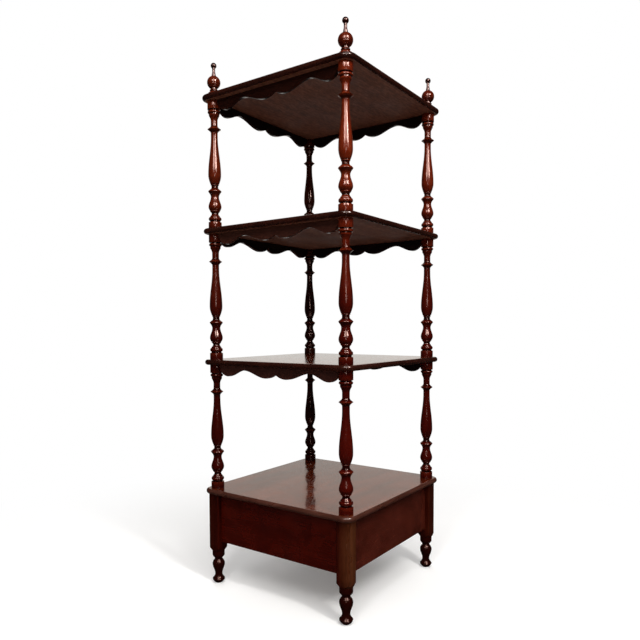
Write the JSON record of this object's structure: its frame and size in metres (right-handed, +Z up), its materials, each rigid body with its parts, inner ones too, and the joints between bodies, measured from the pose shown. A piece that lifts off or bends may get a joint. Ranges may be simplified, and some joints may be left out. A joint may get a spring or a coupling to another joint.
{
  "type": "etagere",
  "caption": "Victorian style mahogany etagere with square boards on turned posts, scalloped aprons, ball finials, turned feet and a shallow drawer",
  "frame": {"origin": "On the floor, midway between the four feet", "axes": "+X right as seen from the front, +Y towards the plain back, +Z up. The drawer opens towards -Y"},
  "size_m": [0.441, 0.433, 1.271],
  "materials": {
    "polished_mahogany": "french polished, glossy",
    "turned_mahogany": "french polished, glossy",
    "apron_mahogany": "polished, satin",
    "plain_inside_wood": "bare, planed",
    "iron": "dull"
  },
  "bodies": {
    "case": {"top_board": "polished_mahogany", "upper_board": "polished_mahogany", "middle_board": "polished_mahogany", "base_board": "polished_mahogany", "finial_front_left": "turned_mahogany", "finial_front_right": "turned_mahogany", "finial_back_left": "turned_mahogany", "finial_back_right": "turned_mahogany", "upper_spindle_front_left": "turned_mahogany", "upper_spindle_front_right": "turned_mahogany", "upper_spindle_back_left": "turned_mahogany", "upper_spindle_back_right": "turned_mahogany", "middle_spindle_front_left": "turned_mahogany", "middle_spindle_front_right": "turned_mahogany", "middle_spindle_back_left": "turned_mahogany", "middle_spindle_back_right": "turned_mahogany", "lower_spindle_front_left": "turned_mahogany", "lower_spindle_front_right": "turned_mahogany", "lower_spindle_back_left": "turned_mahogany", "lower_spindle_back_right": "turned_mahogany", "top_apron_front": "apron_mahogany", "top_apron_left": "apron_mahogany", "top_apron_right": "apron_mahogany", "upper_apron_front": "apron_mahogany", "upper_apron_left": "apron_mahogany", "upper_apron_right": "apron_mahogany", "middle_apron_front": "apron_mahogany", "middle_apron_left": "apron_mahogany", "middle_apron_right": "apron_mahogany", "leg_front_left": "turned_mahogany", "leg_front_right": "turned_mahogany", "leg_back_left": "turned_mahogany", "leg_back_right": "turned_mahogany", "left_panel": "polished_mahogany", "right_panel": "polished_mahogany", "back_panel": "polished_mahogany", "front_rail": "polished_mahogany", "drawer_runner_left": "plain_inside_wood", "drawer_runner_right": "plain_inside_wood", "drawer_guide_left": "plain_inside_wood", "drawer_guide_right": "plain_inside_wood", "drawer_stops": "plain_inside_wood", "glue_blocks": "plain_inside_wood"},
    "drawer": {"drawer_front": "polished_mahogany", "drawer_side_left": "plain_inside_wood", "drawer_side_right": "plain_inside_wood", "drawer_back": "plain_inside_wood", "drawer_bottom": "plain_inside_wood", "drawer_bottom_nails": "iron", "drawer_knob_left": "turned_mahogany", "drawer_knob_right": "turned_mahogany"}
  },
  "joints": [
    {"name": "drawer_slide", "type": "slide", "parent": "case", "child": "drawer", "axis": [0, -1, 0], "range_m": [0, 0.27]}
  ]
}
